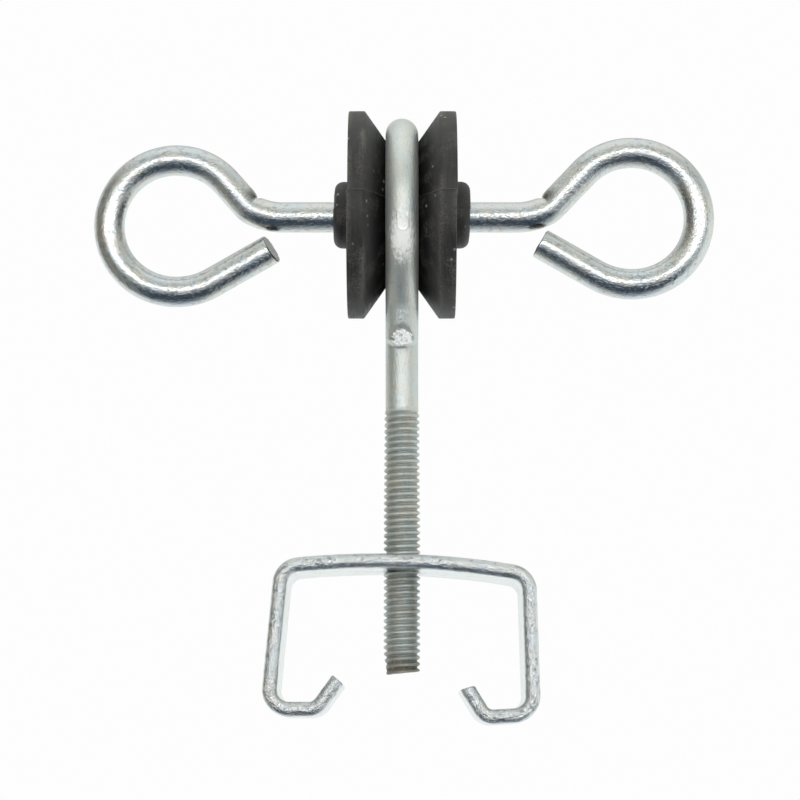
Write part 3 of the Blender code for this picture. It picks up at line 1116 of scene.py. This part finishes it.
def add_die_mark(finish):
    """A low U-shaped ridge on the front of the eye."""
    x, _, z = finish.split(finish.solid())
    across = finish.math("SUBTRACT", x, DIE_MARK.x * MM)
    below = finish.math("MINIMUM", finish.math("SUBTRACT", z, DIE_MARK.z * MM), 0.0)
    spot = finish.node("ShaderNodeCombineXYZ", None, {"X": across, "Z": below})
    reach = finish.length(spot.outputs["Vector"])
    off_line = finish.math("ABSOLUTE", finish.math("SUBTRACT", reach, DIE_MARK_RADIUS * MM))
    arms_end, arms_start = [(DIE_MARK.z + above) * MM for above in DIE_MARK_ARMS]
    shown = finish.times(finish.on_eye_front(), finish.rise(z, arms_end, arms_start))
    ridge = finish.times(finish.rise(off_line, DIE_MARK_WIDTH * MM, 0.0), shown)
    finish.set("Normal", finish.bump(ridge, DIE_MARK_HEIGHT, finish.fed("Normal")))


def add_painted_highlight(finish):
    """A painted highlight: a bright patch with a ragged edge round the mark on the front of the
    eye.
    """
    solid = finish.solid()
    ragged = finish.noise(finish.stretched(solid, (2000.0, 2000.0, 1100.0)), 1.0, 3.0)
    scaled = finish.stretched(solid, (1 / (PAINTED_HIGHLIGHT_SIZE.x * MM), 0.0, 1 / (PAINTED_HIGHLIGHT_SIZE.z * MM)))
    middle = (PAINTED_HIGHLIGHT.x / PAINTED_HIGHLIGHT_SIZE.x, 0.0, PAINTED_HIGHLIGHT.z / PAINTED_HIGHLIGHT_SIZE.z)
    off = finish.node("ShaderNodeVectorMath", {"operation": "SUBTRACT"}, {0: scaled, 1: middle})
    away = finish.plus(finish.length(off.outputs["Vector"]), finish.times(ragged, 1.3))
    # Painted highlight: the patch is painted near-white and made less metallic than the zinc round
    # it
    rubbed = finish.times(finish.rise(away, 1.8, 0.9), finish.on_eye_front())
    finish.set("Base Color", finish.mix(rubbed, finish.fed("Base Color"), HIGHLIGHT_ZINC))
    finish.set("Metallic", finish.rise(rubbed, 0.0, 1.0, WORN_METAL, HIGHLIGHT_METAL))


def add_thread_wear(finish):
    """Fine rolling lines and stains round the thread, and brown at its dirty cut end."""
    place = finish.place()
    on_thread = finish.rise(finish.split(place)["X"], 0.0, 1.0)
    lines = finish.noise(finish.stretched(place, (3.6, 0.35, 0.35)), 1.0, 3.0, 0.7)
    patches = finish.noise(place, 1.1, 3.0)
    stained = finish.times(finish.rise(lines, 0.52, 0.72, to_high=0.5), on_thread)
    brown = finish.times(finish.rise(finish.grime_and_shade(), 0.45, 0.95), finish.rise(patches, 0.35, 0.6))
    colour = finish.mix(stained, finish.fed("Base Color"), STAIN)
    finish.set("Base Color", finish.mix(brown, colour, RUST))
    lined = finish.times(lines, on_thread)
    finish.set("Normal", finish.bump(lined, ROLLING_LINE_HEIGHT, finish.fed("Normal")))


def weld_metal():
    """A dull white weld with darker pits."""
    finish = Finish("weld_zinc")
    lumps = finish.noise(finish.place(), 1.3, 3.0)
    finish.set("Base Color", finish.mix(finish.rise(lumps, 0.32, 0.46), WELD_PIT, WELD_WHITE))
    finish.set("Metallic", 0.25)
    finish.set("Roughness", finish.rise(lumps, 0.3, 0.6, 0.5, 0.3))
    finish.set("Normal", finish.bump(lumps, 0.1))
    return finish


def black_plastic():
    """Moulded plastic, satin and scuffed: rubbed rims, flecks of dust, and painted shade in the
    groove.
    """
    finish = Finish("moulded_black")
    place = finish.place()
    across, _, radius = finish.split(place)
    solid = finish.solid()
    fine = finish.noise(solid, 2600.0, 4.0, 0.6)
    broad = finish.noise(solid, 260.0)
    tooled = finish.noise(finish.stretched(place, (1.6, 0.12, 1.6)), 1.6, 3.0, 0.6)
    between_flanges = finish.rise(finish.math("ABSOLUTE", across), 10.6, 9.6)
    in_groove = finish.times(finish.rise(radius, FLANGE_RADIUS - 0.5, EYE_RADIUS), between_flanges)
    scuffed = finish.times(finish.rise(broad, 0.47, 0.64), finish.rise(fine, 0.42, 0.62))
    worn = finish.times(finish.grime_and_shade(), finish.rise(fine, 0.3, 0.6))
    fleck = finish.times(finish.rise(finish.cells(solid, 420.0), 0.2, 0.08),
                         finish.rise(finish.noise(solid, 190.0, 2.0), 0.5, 0.6))
    colour = finish.mix(finish.rise(tooled, 0.3, 0.7), BLACK, TOOLED_BLACK)
    # Painted shade: the groove between the flanges is painted darker
    colour = finish.mix(in_groove, colour, GROOVE_SHADE_BLACK)
    colour = finish.mix(finish.times(scuffed, 0.38), colour, SCUFF)
    colour = finish.mix(finish.times(worn, 0.35), colour, RUBBED_BLACK)
    finish.set("Base Color", finish.mix(finish.times(fleck, 0.6), colour, DUST))
    rough = finish.rise(tooled, 0.3, 0.7, 0.42, 0.56)
    rough = finish.plus(rough, finish.times(scuffed, 0.2))
    finish.set("Roughness", finish.plus(rough, finish.times(in_groove, 0.1)))
    finish.set("Specular IOR Level", finish.rise(in_groove, 0.0, 1.0, 0.5, 0.25))
    finish.set("Normal", finish.bump(finish.plus(finish.times(tooled, 0.6), fine), 0.05))
    return finish


# ---------------------------------------------------------------- studio and camera

def sine(degrees):
    return math.sin(math.radians(degrees))


def wall(look, up, bands):
    """A wall of the reflected room, by the height that a ray points to."""
    height = look.node("ShaderNodeMapRange", None, {"Value": up, "From Min": -1.0})
    made = look.node("ShaderNodeValToRGB", None, {"Fac": height.outputs["Result"]})
    ramp = made.color_ramp
    ramp.elements.remove(ramp.elements[1])
    ramp.elements[0].position = 0.0
    ramp.elements[0].color = (*bands[0][1], 1.0)
    for degrees, colour in bands[1:]:
        ramp.elements.new((sine(degrees) + 1) / 2).color = (*colour, 1.0)
    return made.outputs["Color"]


def build_world():
    """A white room for the camera. The metal reflects another one, with a dark floor and a
    bright low window to the front, duller side walls, a pale back wall and a pale ceiling."""
    world = bpy.data.worlds.new("studio")
    world.use_nodes = True
    bpy.context.scene.world = world
    look = Look(world.node_tree)
    direction = look.node("ShaderNodeTexCoord").outputs["Generated"]
    side, back, up = look.split(direction)
    seen = look.mix(look.rise(side, 0.62, 0.78), wall(look, up, FRONT_WALL),
                    wall(look, up, RIGHT_WALL))
    seen = look.mix(look.rise(side, -0.52, -0.66), seen, wall(look, up, LEFT_WALL))
    turned = look.plus(back, look.times(side, 0.4))
    seen = look.mix(look.rise(turned, -0.08, 0.16), seen, wall(look, up, BACK_WALL))
    camera_ray = look.node("ShaderNodeLightPath").outputs["Is Camera Ray"]
    background = world.node_tree.nodes["Background"]
    look.put(background.inputs["Color"], look.mix(camera_ray, seen, BACKDROP))
    background.inputs["Strength"].default_value = 1.0


def build_light():
    """One soft light from above and the left, which the metal doesn't mirror."""
    data = bpy.data.lights.new("ceiling_softbox", "AREA")
    data.shape = "DISK"
    data.size = LIGHT_SIZE
    data.energy = LIGHT_POWER
    data.color = LIGHT_COLOUR
    lamp = bpy.data.objects.new("ceiling_softbox", data)
    bpy.context.scene.collection.objects.link(lamp)
    lamp.location = LIGHT_PLACE
    lamp.visible_glossy = False
    aim = Vector((0, 0, LIGHT_AIM_Z)) - Vector(LIGHT_PLACE)
    lamp.rotation_euler = aim.to_track_quat("-Z", "Y").to_euler()


def build_floor():
    """A pale round floor that fades out before its edge."""
    mesh = bpy.data.meshes.new("floor")
    work = bmesh.new()
    bmesh.ops.create_circle(work, cap_ends=True, segments=96, radius=FLOOR_RADIUS)
    bmesh.ops.translate(work, vec=(0, 0, FLOOR_Z * MM), verts=work.verts)
    work.to_mesh(mesh)
    work.free()
    floor = bpy.data.objects.new("floor", mesh)
    bpy.context.scene.collection.objects.link(floor)
    finish = Finish("pale_floor")
    finish.set("Base Color", (0.9, 0.9, 0.9, 1))
    finish.set("Roughness", 0.9)
    finish.set("Alpha", finish.rise(finish.length(finish.solid()), *FLOOR_FADE, 1.0, 0.0))
    mesh.materials.append(finish.material)
    floor.visible_glossy = False


def build_camera():
    data = bpy.data.cameras.new("camera")
    data.sensor_width = CAMERA_SENSOR
    data.lens = CAMERA_LENS
    camera = bpy.data.objects.new("camera", data)
    bpy.context.scene.collection.objects.link(camera)
    camera.location = CAMERA_PLACE
    camera.rotation_euler = (CAMERA_TILT, 0, 0)
    bpy.context.scene.camera = camera


def main():
    bright = zinc("bright_zinc", COOL_ZINC, WARM_ZINC, polish=0.06, dull=0.13, grain_size=0.5,
                  grain_depth=0.07, stretch=1.5, pit_depth=0.015, blotched=0.35)
    strip = zinc("strip_zinc", COOL_STRIP, WARM_STRIP, polish=0.05, dull=0.10, grain_size=0.8,
                 grain_depth=0.26, stretch=1.8, pit_depth=0.006, blotched=0.5)
    smooth_flats(strip)
    worn = zinc("worn_zinc", COOL_WORN, WARM_WORN, polish=0.30, dull=0.42, grain_size=0.35,
                grain_depth=0.10, stretch=2.0, pit_depth=0.006, blotched=0.15, metal=WORN_METAL)
    add_die_mark(worn)
    add_painted_highlight(worn)
    add_thread_wear(worn)
    build_bolt(worn.material, weld_metal().material)
    build_rod(bright.material)
    build_spool(black_plastic().material)
    build_clip(strip.material)
    build_world()
    build_light()
    build_floor()
    build_camera()
    bpy.context.scene.view_settings.view_transform = "Standard"


main()
